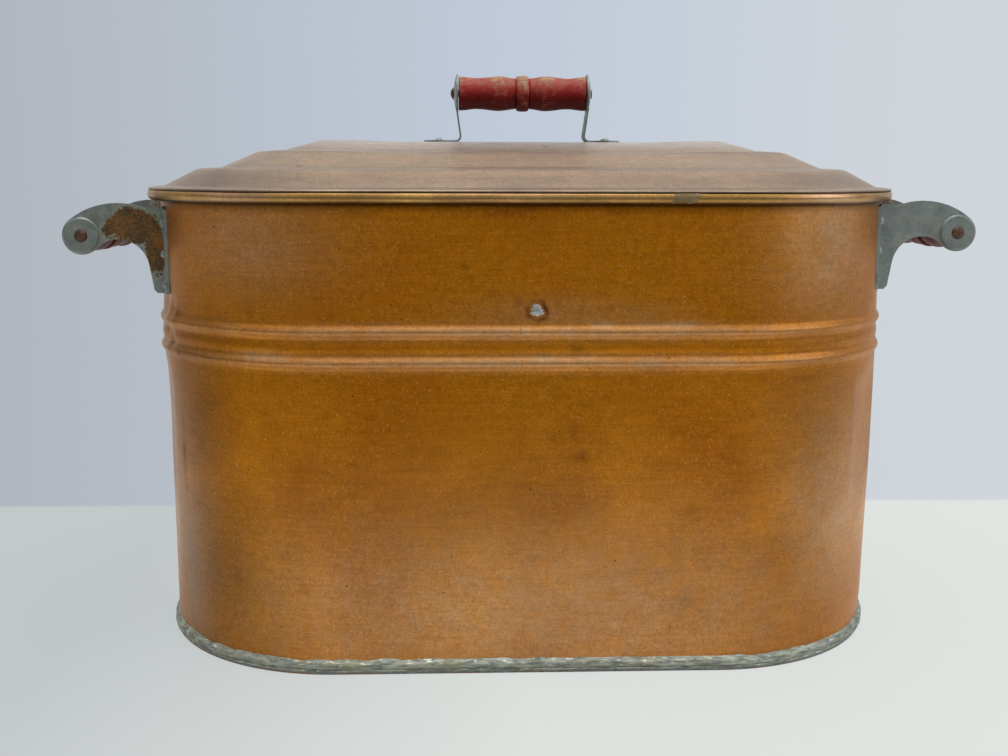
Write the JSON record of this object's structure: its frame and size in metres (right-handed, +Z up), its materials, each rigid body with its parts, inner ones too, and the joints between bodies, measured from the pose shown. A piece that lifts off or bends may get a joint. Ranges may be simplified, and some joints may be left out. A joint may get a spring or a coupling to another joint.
{
  "type": "laundry copper boiler",
  "caption": "Oval copper laundry boiler with swaged ridges, wired rim, soldered bottom seam, riveted side handles and a loose stepped lid with turned wooden grips.",
  "frame": {"origin": "centre of the underside, on the surface that the boiler stands on", "axes": "+X along the oval to the right handle, +Y to the back, +Z up"},
  "size_m": [0.705, 0.3042, 0.4414],
  "materials": {
    "body_copper": "tarnished rolled copper sheet, golden brown",
    "lid_copper": "dull pale copper sheet",
    "rim_copper": "worn brassy copper strip",
    "galvanised": "weathered zinc coating with rust",
    "steel": "brown rusted mild steel",
    "solder": "dull tin and lead solder",
    "seam_solder": "lumpy grey solder with pale flecks",
    "grip_wood": "worn red paint on turned wood"
  },
  "bodies": {
    "boiler": {"front_sheet": "body_copper", "back_sheet": "body_copper", "end_seam_solder": "solder", "bottom_pan": "body_copper", "bottom_seam_solder": "seam_solder", "hole_mend": "solder", "rim_band": "rim_copper", "rim_wire": "steel", "rim_joint_solder": "solder", "left_front_bracket": "galvanised", "left_rear_bracket": "galvanised", "right_front_bracket": "galvanised", "right_rear_bracket": "galvanised", "left_front_rivets": "galvanised", "left_rear_rivets": "galvanised", "right_front_rivets": "galvanised", "right_rear_rivets": "galvanised", "left_handle_rod": "steel", "right_handle_rod": "steel"},
    "left_handle_grip": {"left_grip": "grip_wood"},
    "right_handle_grip": {"right_grip": "grip_wood"},
    "lid": {"lid_cover": "lid_copper", "lid_ring": "lid_copper", "lid_ring_solder": "solder", "lid_left_bracket": "galvanised", "lid_right_bracket": "galvanised", "lid_left_rivets": "galvanised", "lid_right_rivets": "galvanised", "lid_handle_rod": "steel"},
    "lid_handle_grip": {"lid_grip": "grip_wood"}
  },
  "joints": [
    {"name": "lid_lift", "type": "slide", "parent": "boiler", "child": "lid", "axis": [0, 0, 1], "range_m": [0, 0.25]},
    {"name": "lid_grip_spin", "type": "hinge", "parent": "lid", "child": "lid_handle_grip", "pos_m": [0, 0, 0.4264], "axis": [1, 0, 0], "continuous": true},
    {"name": "left_grip_spin", "type": "hinge", "parent": "boiler", "child": "left_handle_grip", "pos_m": [-0.338, 0, 0.3165], "axis": [0, 1, 0], "continuous": true},
    {"name": "right_grip_spin", "type": "hinge", "parent": "boiler", "child": "right_handle_grip", "pos_m": [0.338, 0, 0.3193], "axis": [0, 1, 0], "continuous": true}
  ]
}
